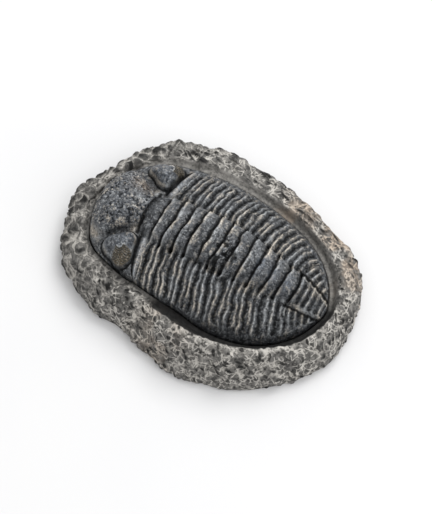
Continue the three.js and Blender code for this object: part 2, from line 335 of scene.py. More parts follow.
class Shader:
    """A material's node tree, built up node by node around one principled surface."""

    def __init__(self, name: str) -> None:
        """Start a material of this name."""
        self.material = bpy.data.materials.new(name)
        self.material.use_nodes = True
        self.tree = self.material.node_tree
        self.surface = self.tree.nodes["Principled BSDF"]
        self.place = self.tree.nodes.new("ShaderNodeTexCoord").outputs["Object"]

    def feed(self, socket: Socket, value: object) -> None:
        """Link a socket to another, or set its constant."""
        if isinstance(value, Socket):
            self.tree.links.new(value, socket)
        elif isinstance(value, tuple):
            socket.default_value = (*value, 1.0)
        else:
            socket.default_value = value

    def mark(self, mark: Mark) -> Socket:
        """A mark stored on the points."""
        node = self.tree.nodes.new("ShaderNodeAttribute")
        node.attribute_name = mark.value
        return node.outputs["Fac"]

    def noise(self, size: float, detail: float) -> Socket:
        """Noise from 0 to 1 with lumps of a size in millimetres."""
        node = self.tree.nodes.new("ShaderNodeTexNoise")
        self.tree.links.new(self.place, node.inputs["Vector"])
        node.inputs["Scale"].default_value = 1 / (size * MM)
        node.inputs["Detail"].default_value = detail
        return node.outputs["Fac"]

    def range(self, value: object, low: float, high: float, start: float = 0.0, end: float = 1.0) -> Socket:
        """A value moved smoothly from low..high to start..end."""
        node = self.tree.nodes.new("ShaderNodeMapRange")
        node.interpolation_type = "SMOOTHSTEP"
        names = ("Value", "From Min", "From Max", "To Min", "To Max")
        for name, amount in zip(names, (value, low, high, start, end)):
            self.feed(node.inputs[name], amount)
        return node.outputs["Result"]

    def grain(self, grain: Grain) -> Socket:
        """Amounts of a grain."""
        noise = self.noise(grain.size, grain.detail)
        return self.range(noise, grain.low, grain.high, grain.start, grain.end)

    def times(self, first: object, second: object) -> Socket:
        """The product of two values."""
        node = self.tree.nodes.new("ShaderNodeMath")
        node.operation = "MULTIPLY"
        self.feed(node.inputs[0], first)
        self.feed(node.inputs[1], second)
        return node.outputs[0]

    def mix(self, share: object, first: object, second: object) -> Socket:
        """A colour at a share of the way from the first to the second."""
        node = self.tree.nodes.new("ShaderNodeMix")
        node.data_type = "RGBA"
        self.feed(node.inputs[0], share)
        self.feed(node.inputs[6], first)
        self.feed(node.inputs[7], second)
        return node.outputs[2]

    def bump(self, relief: Relief) -> None:
        """Lay fine relief on the surface."""
        node = self.tree.nodes.new("ShaderNodeBump")
        node.inputs["Strength"].default_value = relief.strength
        node.inputs["Distance"].default_value = relief.depth * MM
        self.feed(node.inputs["Height"], self.noise(relief.size, relief.detail))
        self.feed(self.surface.inputs["Normal"], node.outputs["Normal"])

    def edges(self, size: float, length: float, heading: float) -> Socket:
        """Distance to the nearest edge of scattered cells, as a share of their size.

        Args:
            size: Width of a cell, in millimetres.
            length: How many times longer than wide a cell is.
            heading: Direction of the cells' length in the XY plane, in degrees.

        Returns:
            Socket of the distance.
        """
        mapping = self.tree.nodes.new("ShaderNodeMapping")
        mapping.vector_type = "TEXTURE"
        self.tree.links.new(self.place, mapping.inputs["Vector"])
        mapping.inputs["Rotation"].default_value = (0.0, 0.0, math.radians(heading))
        mapping.inputs["Scale"].default_value = (length, 1.0, 1.0)
        node = self.tree.nodes.new("ShaderNodeTexVoronoi")
        node.feature = "DISTANCE_TO_EDGE"
        self.tree.links.new(mapping.outputs["Vector"], node.inputs["Vector"])
        node.inputs["Scale"].default_value = 1 / (size * MM)
        return node.outputs["Distance"]

    def finish(self, colour: object, roughness: object, sheen: object) -> Material:
        """Set colour, roughness and strength of reflection and give the material."""
        self.feed(self.surface.inputs["Base Color"], colour)
        self.feed(self.surface.inputs["Roughness"], roughness)
        self.feed(self.surface.inputs["Specular IOR Level"], sheen)
        return self.material


@dataclass(frozen=True)
class FossilFinish:
    """Dark blue-grey calcite with pale worn crests and a few painted glints, painted black shade in the
    hollows and tan remains of stone.
    """

    name: str = "fossil"
    dark: Colour = (0.015, 0.016, 0.018)
    grey: Colour = (0.062, 0.066, 0.072)
    blue: Colour = (0.105, 0.124, 0.155)
    crest: Colour = (0.52, 0.47, 0.4)
    crest_cool: Colour = (0.37, 0.385, 0.395)
    bare: Colour = (0.13, 0.1, 0.075)
    net: Colour = (0.105, 0.084, 0.054)
    black: Colour = (0.004, 0.004, 0.004)
    mottle: Grain = Grain(1.1, 5, 0.38, 0.64)
    veil: Grain = Grain(0.6, 3, 0.36, 0.6, 0.15)
    warmth: Grain = Grain(5, 2, 0.4, 0.6)
    worn: Grain = Grain(0.5, 4, 0.34, 0.56, 0.25)
    specks: Grain = Grain(0.36, 3, 0.56, 0.7, 0, 0.62)
    pinholes: Grain = Grain(0.48, 2, 0.42, 0.3, 0, 0.85)
    satin: Grain = Grain(0.9, 3, 0.35, 0.65, 0.3, 0.6)
    relief: Relief = Relief(0.28, 4, 0.2, 0.8)
    shade: Span = (0.12, 0.85, 0, 0.92)
    gloss: Span = (0.2, 0.9, 1, 0.4)
    sheen: Span = (0.0, 0.6, 0.42, 0.02)

    def material(self) -> Material:
        """The finish as a material."""
        shader = Shader(self.name)
        colour = shader.mix(shader.grain(self.mottle), self.dark, self.grey)
        veil = shader.grain(self.veil)
        for mark, tint in ((Mark.BLUE, self.blue), (Mark.BARE, self.bare)):
            colour = shader.mix(shader.times(shader.mark(mark), veil), colour, tint)
        colour = shader.mix(shader.mark(Mark.NET), colour, self.net)
        colour = shader.mix(shader.grain(self.specks), colour, self.crest_cool)
        pale = shader.mix(shader.grain(self.warmth), self.crest_cool, self.crest)
        worn = shader.times(shader.mark(Mark.CREST_AND_GLINT), shader.grain(self.worn))
        colour = shader.mix(worn, colour, pale)
        colour = shader.mix(shader.grain(self.pinholes), colour, self.black)
        # Painted shade: the hollow mark turns furrows, gaps, pits and the left flank's edge black.
        hollow = shader.mark(Mark.HOLLOW_SHADE)
        colour = shader.mix(shader.range(hollow, *self.shade), colour, self.black)
        shader.bump(self.relief)
        gloss = shader.range(shader.mark(Mark.ROUGH), *self.gloss)
        roughness = shader.times(shader.grain(self.satin), gloss)
        # Reflection is also taken away where the painted shade lies.
        return shader.finish(colour, roughness, shader.range(hollow, *self.sheen))


@dataclass(frozen=True)
class LensFinish:
    """Glossy dark olive lenses of an eye."""

    name: str = "eye_lens"
    dark: Colour = (0.012, 0.011, 0.009)
    olive: Colour = (0.034, 0.029, 0.018)
    mottle: Grain = Grain(1.1, 2, 0.4, 0.65)
    gloss: Grain = Grain(0.6, 2, 0.3, 0.7, 0.2, 0.4)
    sheen: float = 0.5

    def material(self) -> Material:
        """The finish as a material."""
        shader = Shader(self.name)
        colour = shader.mix(shader.grain(self.mottle), self.dark, self.olive)
        return shader.finish(colour, shader.grain(self.gloss), self.sheen)


@dataclass(frozen=True)
class StoneFinish:
    """Brown-grey limestone with pale bruised tool strokes, dark pits, painted shade on the left wall of the
    hollow and warm patches.
    """

    name: str = "stone"
    dark: Colour = (0.045, 0.044, 0.042)
    grey: Colour = (0.135, 0.13, 0.123)
    warm: Colour = (0.165, 0.138, 0.114)
    pale: Colour = (0.47, 0.45, 0.415)
    pale_warm: Colour = (0.48, 0.405, 0.33)
    black: Colour = (0.008, 0.008, 0.008)
    mottle: Grain = Grain(1.4, 5, 0.36, 0.64)
    patches: Grain = Grain(2.4, 4, 0.38, 0.6)
    broken: Grain = Grain(0.55, 3, 0.36, 0.56, 0.3)
    blots: Grain = Grain(1.1, 3, 0.43, 0.33, 0, 0.7)
    roughness: Grain = Grain(0.8, 2, 0.3, 0.7, 0.6, 0.85)
    relief: Relief = Relief(0.32, 5, 0.2, 0.8)
    pits: Span = (0.1, 0.75, 0, 0.9)
    sheen: float = 0.12
    scratches: tuple[Pair, ...] = ((18, 1.7), (-52, 1.9), (74, 2.2))
    scratch_length: float = 2.6
    scratch_line: Pair = (0.08, 0.03)
    scratch_patch: float = 1.7
    scratch_detail: float = 2
    scratch_share: Span = (0.5, 0.58, 0, 0.7)

    def material(self) -> Material:
        """The finish as a material."""
        shader = Shader(self.name)
        colour = shader.mix(shader.grain(self.mottle), self.dark, self.grey)
        warm = shader.mark(Mark.WARM)
        colour = shader.mix(shader.times(warm, shader.grain(self.patches)), colour, self.warm)
        light = shader.mix(warm, self.pale, self.pale_warm)
        stroke = shader.times(shader.mark(Mark.PALE), shader.grain(self.broken))
        colour = shader.mix(stroke, colour, light)
        tooled = shader.mark(Mark.TOOLED)
        for heading, size in self.scratches:
            line = shader.range(shader.edges(size, self.scratch_length, heading), *self.scratch_line)
            patch = shader.noise(self.scratch_patch * size, self.scratch_detail)
            here = shader.times(shader.range(patch, *self.scratch_share), tooled)
            colour = shader.mix(shader.times(line, here), colour, light)
        colour = shader.mix(shader.times(shader.grain(self.blots), tooled), colour, self.black)
        # Dark tool pans and the painted shade on the hollow's left wall go toward black.
        colour = shader.mix(shader.range(shader.mark(Mark.PIT_AND_SHADE), *self.pits), colour, self.black)
        shader.bump(self.relief)
        return shader.finish(colour, shader.grain(self.roughness), self.sheen)


@dataclass(frozen=True)
class FloorFinish:
    """A matt, nearly white table top with a faint cloudiness."""

    name: str = "floor"
    white: Colour = (0.61, 0.61, 0.612)
    cloud: Colour = (0.6, 0.6, 0.605)
    clouds: Grain = Grain(60, 2, 0.3, 0.7)
    roughness: float = 0.7
    sheen: float = 0.2

    def material(self) -> Material:
        """The finish as a material."""
        shader = Shader(self.name)
        colour = shader.mix(shader.grain(self.clouds), self.white, self.cloud)
        return shader.finish(colour, self.roughness, self.sheen)


class GeometryTree:
    """A geometry-nodes tree with named inputs."""

    segments: int = 7
    rings: int = 5
    sizes: Pair = (0.65, 1.2)
    paleness: Pair = (-0.5, 0.75)
    flatness: float = 0.75
    bead_seed: int = 11

    def __init__(self, name: str, inputs: dict[str, str]) -> None:
        """Start a tree.

        Args:
            name: Name of the tree.
            inputs: Socket type of each input after the geometry, by name.
        """
        self.tree = bpy.data.node_groups.new(name, "GeometryNodeTree")
        self.tree.interface.new_socket("Geometry", in_out="INPUT", socket_type="NodeSocketGeometry")
        for label, kind in inputs.items():
            self.tree.interface.new_socket(label, in_out="INPUT", socket_type=kind)
        self.tree.interface.new_socket("Geometry", in_out="OUTPUT", socket_type="NodeSocketGeometry")
        self.given = self.tree.nodes.new("NodeGroupInput").outputs
        self.result = self.tree.nodes.new("NodeGroupOutput").inputs["Geometry"]

    def node(self, kind: str, links: dict[str, object], **settings: object) -> bpy.types.Node:
        """Add a node.

        Args:
            kind: The node's type name.
            links: Sockets or constants for its inputs, by name.
            **settings: The node's own properties.

        Returns:
            The node.
        """
        made = self.tree.nodes.new(kind)
        for name, value in settings.items():
            setattr(made, name, value)
        for name, value in links.items():
            socket = next(s for s in made.inputs if s.name == name and s.enabled)
            if isinstance(value, Socket):
                self.tree.links.new(value, socket)
            else:
                socket.default_value = value
        return made

    def random(self, span: Pair, seed: int) -> Socket:
        """A number within a span for each point or bead."""
        low, high = span
        limits = {"Min": low, "Max": high, "Seed": seed}
        made = self.node("FunctionNodeRandomValue", limits, data_type="FLOAT")
        return next(s for s in made.outputs if s.enabled)

    def beads(self, points: object, rotation: object) -> Socket:
        """Low round beads of varied size on points, as one mesh in the tree's bead material.

        Args:
            points: Socket of the points.
            rotation: Socket of each bead's rotation.

        Returns:
            Socket of the mesh.
        """
        ball = self.node(
            "GeometryNodeMeshUVSphere",
            {"Segments": self.segments, "Rings": self.rings, "Radius": self.given["Radius"]},
        )
        low = self.node(
            "GeometryNodeTransform",
            {"Geometry": ball.outputs["Mesh"], "Scale": (1.0, 1.0, self.flatness)},
        )
        placed = self.node(
            "GeometryNodeInstanceOnPoints",
            {
                "Points": points,
                "Instance": low.outputs["Geometry"],
                "Rotation": rotation,
                "Scale": self.random(self.sizes, self.bead_seed),
            },
        )
        marked = self.node(
            "GeometryNodeStoreNamedAttribute",
            {
                "Geometry": placed.outputs["Instances"],
                "Name": Mark.CREST_AND_GLINT.value,
                "Value": self.random(self.paleness, self.bead_seed + 1),
            },
            data_type="FLOAT",
            domain="INSTANCE",
        )
        real = self.node("GeometryNodeRealizeInstances", {"Geometry": marked.outputs["Geometry"]})
        smooth = self.node("GeometryNodeSetShadeSmooth", {"Geometry": real.outputs["Geometry"]})
        painted = self.node(
            "GeometryNodeSetMaterial",
            {"Geometry": smooth.outputs["Geometry"], "Material": self.given["Bead material"]},
        )
        return painted.outputs["Geometry"]

    def apply(self, piece: Thing, values: dict[str, object]) -> None:
        """Run the tree on a piece and keep the result as its plain mesh.

        Args:
            piece: The object, whose mesh is replaced.
            values: Value of each input after the geometry, by name.
        """
        modifier = piece.modifiers.new(self.tree.name, "NODES")
        modifier.node_group = self.tree
        for item in self.tree.interface.items_tree:
            if item.in_out == "INPUT" and item.name in values:
                modifier[item.identifier] = values[item.name]
        bpy.context.view_layer.update()
        shown = piece.evaluated_get(bpy.context.evaluated_depsgraph_get())
        mesh = bpy.data.meshes.new_from_object(shown)
        piece.modifiers.remove(modifier)
        piece.data = mesh


class TubercleTree(GeometryTree):
    """Scatters tubercles over the part of a body that its bead mark names."""

    density: float = 4.0e6

    def __init__(self) -> None:
        """Build the tree."""
        kinds = {
            "Spacing": "NodeSocketFloat",
            "Radius": "NodeSocketFloat",
            "Seed": "NodeSocketInt",
            "Body material": "NodeSocketMaterial",
            "Bead material": "NodeSocketMaterial",
        }
        super().__init__("Tubercles", kinds)
        share = self.node("GeometryNodeInputNamedAttribute", {"Name": Mark.BEAD.value}, data_type="FLOAT")
        points = self.node(
            "GeometryNodeDistributePointsOnFaces",
            {
                "Mesh": self.given["Geometry"],
                "Distance Min": self.given["Spacing"],
                "Density Max": self.density,
                "Density Factor": share.outputs["Attribute"],
                "Seed": self.given["Seed"],
            },
            distribute_method="POISSON",
        )
        beads = self.beads(points.outputs["Points"], points.outputs["Rotation"])
        body = self.node(
            "GeometryNodeSetMaterial",
            {"Geometry": self.given["Geometry"], "Material": self.given["Body material"]},
        )
        both = self.node("GeometryNodeJoinGeometry", {})
        for part in (beads, body.outputs["Geometry"]):
            self.tree.links.new(part, both.inputs["Geometry"])
        self.tree.links.new(both.outputs["Geometry"], self.result)


class LensTree(GeometryTree):
    """Sets a lens on each site of an eye, turned to the way that the site faces."""

    flatness: float = 0.7
    bead_seed: int = 23

    def __init__(self) -> None:
        """Build the tree."""
        super().__init__("Lenses", {"Radius": "NodeSocketFloat", "Bead material": "NodeSocketMaterial"})
        way = self.node("GeometryNodeInputNamedAttribute", {"Name": "facing"}, data_type="FLOAT_VECTOR")
        turned = self.node(
            "FunctionNodeAlignRotationToVector",
            {"Vector": way.outputs["Attribute"]},
            axis="Z",
        )
        lenses = self.beads(self.given["Geometry"], turned.outputs["Rotation"])
        self.tree.links.new(lenses, self.result)


@dataclass
class Plan:
    """Where points of the body's back lie, seen from above."""

    station: Array
    flank: Array
    x: Array
    y: Array


@dataclass(frozen=True)
class Spot:
    """A soft oval spot on the body's back."""

    x: float
    y: float
    half_length: float
    half_width: float

    def __call__(self, at: Plan) -> Array:
        """Strength of the spot, from 0 to 1, at each point."""
        away = np.hypot((at.x - self.x) / self.half_length, (at.y - self.y) / self.half_width)
        return bell(away, 1.0)


@dataclass
class Eye:
    """One eye: a steep lobe with a smooth brow and a band of lenses round its outer side."""

    side: Side
    x: float = -21.2
    y: float = 13.2
    half_length: float = 4.8
    half_width: float = 4.3
    rise: float = 5.0
    power: float = 2.6
    roundness: float = 0.6
    brow: float = 0.46
    foot: float = 0.95
    reach: float = 0.85
    back_turn: float = 0.6
    corners: float = 0.17
    corner_turn: float = 0.62
    end_ease: Pair = (-0.15, 0.1)
    brow_ease: float = 0.06
    foot_ease: float = 0.03
    smooth_edge: Pair = (0.8, 1.0)
    smooth_blue: float = 0.35
    brow_line: Hump = Hump(0, 0.05)
    brow_line_rise: float = 0.16
    brow_line_pale: float = 0.8
    groove: Hump = Hump(0.1, 0.07)
    groove_depth: float = 0.3
    groove_shade: float = 0.8
    lobe_line: Hump = Hump(0.9, 0.05, 0.85)
    lens_pitch: float = 0.62
    row_share: float = 0.87
    file_reach: float = 0.8
    end_margin: float = 0.12
    foot_margin: float = 0.02
    samples: int = 200

    def polar(self, at: Plan) -> tuple[Array, Array]:
        """Share of the way from the eye's middle to its foot, and angle from the lenses' middle."""
        along = (at.x - self.x) / self.half_length
        out = (at.y * self.side.value - self.y) / self.half_width
        angle = np.arctan2(along, out)
        return np.hypot(along, out) / self.girth(angle), angle - self.back_turn

    def girth(self, angle: Array) -> Array:
        """Reach of the foot, longer towards the lobe's three corners than between them."""
        return 1 + self.corners * np.cos(3 * (angle - self.corner_turn))

    def height(self, away: Array) -> Array:
        """Height of the lobe at a share of the way to its foot."""
        return self.rise * (1 - np.minimum(away, 1) ** self.power) ** self.roundness

    def lay(self, skin: Skin, at: Plan) -> None:
        """Mark the lenses' net, brow line and foot line, and cut the groove round the lenses."""
        away, angle = self.polar(at)
        turned = fade(np.abs(angle) - self.reach, *self.end_ease)
        lenses = turned * smoothstep(away - self.brow, 0, self.brow_ease)
        lenses = lenses * fade(away - self.foot, -self.foot_ease, self.foot_ease)
        rim = turned * self.brow_line(away - self.brow)
        groove = self.groove(away - self.foot)
        skin.lay(
            self.brow_line_rise * rim - self.groove_depth * groove * turned,
            net=lenses,
            blue=self.smooth_blue * fade(away, *self.smooth_edge),
            crest=np.maximum(self.brow_line_pale * rim, (1 - turned) * self.lobe_line(away)),
            # Painted shade in the groove round the lenses.
            hollow=self.groove_shade * groove,
        )

    def sites(self) -> Array:
        """Places of the lenses from above, shape (n, 2), in alternating rows down the lobe."""
        fine = np.linspace(self.brow + self.brow_ease, self.foot - self.foot_margin, self.samples)
        mean = (self.half_length + self.half_width) / 2
        steps = np.hypot(np.diff(fine) * mean, np.diff(self.height(fine)))
        slope = np.concatenate([[0], np.cumsum(steps)])
        rows = np.interp(np.arange(0, slope[-1], self.row_share * self.lens_pitch), slope, fine)
        step = self.lens_pitch / (mean * self.file_reach)
        files = np.arange(self.end_margin - self.reach, self.reach - self.end_margin, step)
        found = []
        for number, away in enumerate(rows):
            angle = files + (number % 2) * step / 2
            turn = angle + self.back_turn
            span = away * self.girth(turn)
            x = self.x + self.half_length * span * np.sin(turn)
            y = self.side.value * (self.y + self.half_width * span * np.cos(turn))
            found.append(np.stack([x, y], axis=1))
        return np.concatenate(found)


@dataclass(frozen=True)
class WearAndPaintedLight:
    """Damage and grain: a broken patch on the left with a few painted glints, smooth bluish plates, fine
    roughness, and painted shade along the left flank's edge.
    """

    broken: Spot = Spot(6.5, -4.5, 7.5, 8.5)
    plates: tuple[Spot, ...] = (
        Spot(16.2, -1.2, 1.1, 2.6),
        Spot(20.0, -1.6, 1.1, 2.6),
        Spot(24.2, -0.6, 1.1, 2.6),
    )
    plate_smoothness: float = 0.75
    edge: Pair = (0.9, 1)
    torn: Layer = Layer(1.3, 0, 3)
    torn_height: Pair = (0.12, 0.57)
    tears: Pair = (0.25, 0.55)
    tear_shade: float = 0.85
    chips: Pair = (0.25, 0.6)
    chip_depth: float = 0.5
    fine: Layer = Layer(0.55, 40, 2)
    fine_height: float = 0.12
    pores: Pair = (0.1, 0.55)
    pore_shade: float = 0.42
    flecks: Pair = (0.3, 0.7)
    fleck_pale: float = 0.4
    broken_pale: float = 0.6
    broad: Layer = Layer(4, 80, 2)
    broad_height: float = 0.16
    # Painted glints: a few pale cells in the broken patch stand in for highlights.
    glints: Noise = Noise(33)
    glint_size: float = 1.1
    glint_from: float = 0.9
    glint_edge: Pair = (0.3, 0.5)
    head_height: float = 0.08
    head_pores: Pair = (0.05, 0.5)
    head_pore_shade: float = 0.6
    head_flecks: Pair = (0.4, 0.65)
    head_fleck_pale: float = 0.7
    # Painted shade along the left flank's edge, from the middle of the body back.
    flank_shade: float = 0.55
    flank_shade_across: Pair = (0.8, 0.98)
    flank_shade_along: Pair = (-6, 4)
    noise: Noise = Noise(5)

    def lay(self, skin: Skin, at: Plan, places: Array) -> None:
        """Lay the wear, the painted glints and the painted flank shade on a body.

        Args:
            skin: The surface so far.
            at: Places of its points.
            places: The same points in space, shape (n, 3).
        """
        shape = skin.height.shape
        broken = self.broken(at)
        torn, fine, broad = (
            self.noise.fractal(places, layer).reshape(shape) for layer in (self.torn, self.fine, self.broad)
        )
        plates = sum(plate(at) for plate in self.plates)
        chips = self.chip_depth * broken * smoothstep(torn, *self.chips)
        grain = lerp(*self.torn_height, broken) * torn + self.fine_height * fine + self.broad_height * broad
        tears = self.tear_shade * broken * smoothstep(-torn, *self.tears)
        skin.lay(
            fade(np.abs(at.flank), *self.edge) * (grain - chips),
            rough=broken,
            blue=plates,
            crest=np.maximum(self.broken_pale * broken, self.fleck_pale) * smoothstep(fine, *self.flecks),
            # Painted shade in the tears of the broken patch, with dark pores of the grain.
            hollow=np.maximum(tears, self.pore_shade * smoothstep(-fine, *self.pores)),
        )
        skin.quieten(Mark.CREST_AND_GLINT, self.plate_smoothness * plates)
        # Painted highlights: pale glint cells scattered over the broken patch.
        away, _, number = self.glints.cells(places / self.glint_size)
        glint = ((number > self.glint_from) * fade(away, *self.glint_edge)).reshape(shape)
        head = skin.marks[Mark.BEAD]
        head_pale = self.head_fleck_pale * head * smoothstep(torn, *self.head_flecks)
        head_shade = self.head_pore_shade * head * smoothstep(-fine, *self.head_pores)
        # Painted shade: the left flank's edge is darkened from the middle of the thorax back.
        shade = smoothstep(-at.flank, *self.flank_shade_across) * smoothstep(at.x, *self.flank_shade_along)
        skin.lay(
            self.head_height * head * torn,
            crest=np.maximum(broken * glint, head_pale),
            hollow=np.maximum(head_shade, self.flank_shade * shade),
        )


@dataclass
class Trilobite:
    """The fossil body: head with glabella and eyes, ringed thorax and ribbed tail, in one piece."""

    head_front: float = -35.4
    head_back: float = -15.6
    cheek: float = -14.8
    segments: int = 11
    pitch: float = 3.76
    ribs: int = 5
    rib_pitch: float = 1.95
    tail_end: float = 36.0
    seat: float = 5.0
    head_rows: int = 92
    segment_rows: int = 18
    rib_rows: int = 12
    columns: int = 224
    vault_power: float = 2.8
    lean: Curve = Curve(((-35.4, 0.4), (36, 1.5)))
    half_width: Curve = Curve(
        (
            (-14.8, 20.6), (-6, 21.4), (6, 21.2), (14.6, 19.9), (20.6, 18.2), (25.6, 15.6),
            (30.6, 11.2), (33.8, 6.6), (36, 1.2),
        )
    )
    left_cover: Curve = Curve(((-32, 0), (-24, 2.8), (-12, 2.6), (0, 2), (8, 0.6), (13, 0)))
    sweep: Curve = Curve(((-15.6, 1.8), (0, 3), (25.76, 4), (29, 2.8), (36, 0)))
    bow: Curve = Curve(((-20.6, 0), (-15.6, 1.2), (25.76, 1.2), (36, 0)))
    furrow_height: Curve = Curve(
        ((-16.6, 17.4), (-9, 19.2), (0, 20.2), (9, 19.3), (20.4, 16.4), (29, 12.9), (36, 8.8))
    )
    rim_height: Curve = Curve(
        ((-35.4, 11), (-14.8, 12), (-2, 11), (10, 8.6), (20.4, 7.2), (30, 7.4), (36, 8.6))
    )
    axis_half: Curve = Curve(
        ((-20, 5.6), (-14, 7.2), (0, 7.3), (10, 6.9), (20.4, 5.4), (28, 4.2), (33, 3.1), (36, 2))
    )
    axis_rise: Curve = Curve(
        ((-20, 3), (-14, 4.4), (0, 5.2), (10, 4.8), (20.4, 3.4), (28, 2.3), (36, 0.2))
    )
    ring_relief: Curve = Curve(
        (
            (0, 0.6), (0.08, 0.58), (0.3, 0.4), (0.58, 0.05), (0.75, -0.7), (0.85, -1.0), (0.93, -0.7),
            (0.98, 0.4), (1, 0.6),
        )
    )
    flank_relief: Curve = Curve(
        (
            (0, 0.5), (0.09, 0.2), (0.2, -0.45), (0.3, -0.65), (0.42, -0.4), (0.54, 0.15),
            (0.62, 0.42), (0.7, 0.1), (0.81, -0.35), (0.92, 0.05), (1, 0.5),
        )
    )
    glabella_half: Curve = Curve(
        (
            (-35.3, 0.1), (-34.5, 5.2), (-33, 8.4), (-30.8, 10.7), (-28.2, 10.9), (-25.6, 9),
            (-23.2, 6.9), (-21, 5.6), (-19, 5),
        )
    )
    glabella_rise: Curve = Curve(
        (
            (-35.3, 0.2), (-34.3, 4.4), (-32.2, 6.9), (-29.4, 7.8), (-26.4, 7), (-23.4, 5.2),
            (-21, 3.6), (-19, 2.2),
        )
    )
    eyes: tuple[Eye, ...] = field(
        default_factory=lambda: (Eye(Side.LEFT, y=12.4, brow=0.3), Eye(Side.RIGHT))
    )
    far_sweep: float = 0.6
    head_easing: float = 1.1
    lag: float = 0.1
    axis_start: Pair = (-20.6, -18.6)
    axis_roundness: float = 0.6
    axis_edge: Pair = (0.8, 1.15)
    furrow: Hump = Hump(0, 1.0, 0.45)
    furrow_shade: Hump = Hump(0.2, 0.6, 0.22)
    first_ring: Pair = (-1, -0.4)
    flank_end: Pair = (0.87, 1)
    front_ridge: Hump = Hump(0, 0.25)
    second_ridge: Hump = Hump(0.62, 0.23, 0.72)
    ring_crest: Hump = Hump(0.15, 0.44)
    ring_gap: Hump = Hump(0.82, 0.52, 0.85)
    ring_slope: Hump = Hump(0.3, 0.8, 0.12)
    flank_gaps: tuple[Hump, ...] = (Hump(0.3, 0.52, 0.78), Hump(0.81, 0.3, 0.6))
    gap_shade: float = 0.95
    pit_across: Hump = Hump(0, 1.0)
    pit_along: Hump = Hump(0.84, 0.6)
    pit_depth: float = 0.8
    tail_border: Pair = (0.78, 0.92)
    tail_ease: float = 3
    tail_line: Hump = Hump(-0.1, 0.3)
    tail_line_rise: float = 0.3
    tail_line_pale: float = 0.9
    tail_furrow: Hump = Hump(0.8, 0.5)
    rib_ridge: Hump = Hump(0, 0.42)
    rib_crest: Hump = Hump(0, 0.3, 0.85)
    rib_rise: float = 0.8
    rib_drop: float = 0.45
    rib_shade: float = 0.6
    glabella_back: float = -19
    glabella_least: float = 0.05
    glabella_power: float = 2.2
    glabella_roundness: float = 0.55
    dome_edge: Pair = (0.86, 0.99)
    dome_front: Pair = (-35, -33.6)
    dome_blue: float = 0.22
    dome_line: Hump = Hump(1.02, 0.1, 0.75)
    dome_line_across: Pair = (1, 4)
    dome_line_along: Pair = (-30, -27)
    stain: Spot = Spot(-24.5, 5.6, 2.6, 2.2)
    seam: Hump = Hump(0, 0.5)
    seam_least: float = 0.6
    seam_depth: float = 0.25
    seam_shade: float = 0.7
    neck: Hump = Hump(-19.3, 0.6)
    neck_half: float = 7
    neck_depth: float = 0.5
    neck_shade: float = 0.9
    knob: Pair = (-19.9, 6.3)
    knob_radius: float = 1.3
    knob_rise: float = 0.7
    knob_pale: float = 0.6
    cheek_inner: Pair = (5, 8)
    cheek_outer: Pair = (0.84, 1)
    border: Hump = Hump(0.95, 0.045)
    border_rise: float = 0.85
    border_pale: float = 0.5
    border_furrow: Hump = Hump(0.86, 0.04)
    border_depth: float = 0.7
    border_shade: float = 0.8
    pale: Layer = Layer(2.2, 7, 3)
    pale_span: Pair = (-0.9, 0.15)
    wander: Layer = Layer(3.4, 23, 2)
    wander_reach: float = 0.5
    wear: WearAndPaintedLight = WearAndPaintedLight()
    tubercle_spacing: float = 0.74
    tubercle_radius: float = 0.3
    tubercle_seed: int = 3
    lens_radius: float = 0.29
    lens_steepest: float = 0.2
    noise: Noise = Noise(5)

    @property
    def thorax_back(self) -> float:
        """Station of the joint between thorax and tail."""
        return self.head_back + self.segments * self.pitch

    def head_share(self, station: Array) -> Array:
        """Share of the way from the front to the back of the head."""
        return np.clip((station - self.head_front) / (self.head_back - self.head_front), 0, 1)

    def plan(self, station: Array, across: Array) -> Plan:
        """Where points lie from above, beside the axis.

        Args:
            station: Station along the body of each point.
            across: Share across the body, from -1 on the left to 1 on the right.

        Returns:
            Their places, with how far across the whole flank each one lies.
        """
        sweep = self.sweep(station) * np.where(across > 0, self.far_sweep, 1)
        back = np.maximum(station, self.head_back)
        share = self.head_share(station)
        bulge = np.sqrt(np.maximum(1 - across**2, 0))
        front = self.cheek - (self.cheek - self.head_front) * bulge
        swept = lerp(front, back + sweep * across**2, share)
        half = lerp(self.half_width(self.cheek), self.half_width(back + sweep), share)
        bared = 1 - self.left_cover(swept) / half
        flank = np.where(across < 0, across * bared, across)
        beside = np.minimum(np.abs(half * flank) / self.axis_half(swept), 1)
        return Plan(station, flank, swept + self.bow(station) * (1 - beside**2), half * flank)

    def vault(self, at: Plan) -> Array:
        """Height of the plain vault of the body."""
        rim = self.rim_height(at.station)
        vault = lerp(self.furrow_height(at.station), rim, np.abs(at.flank) ** self.vault_power)
        return lerp(rim, vault, 1 - (1 - self.head_share(at.station)) ** 2)

    def lay_axis(self, skin: Skin, at: Plan) -> None:
        """The raised axis between its two furrows."""
        half = self.axis_half(at.x)
        beside = np.abs(at.y)
        dome = self.axis_rise(at.x) * (1 - np.minimum(beside / half, 1) ** 2) ** self.axis_roundness
        behind = smoothstep(at.x, *self.axis_start)
        skin.lay(
            behind * (dome - self.furrow(beside - half)),
            # Painted shade just outside the axial furrows.
            hollow=behind * self.furrow_shade(beside - half),
        )

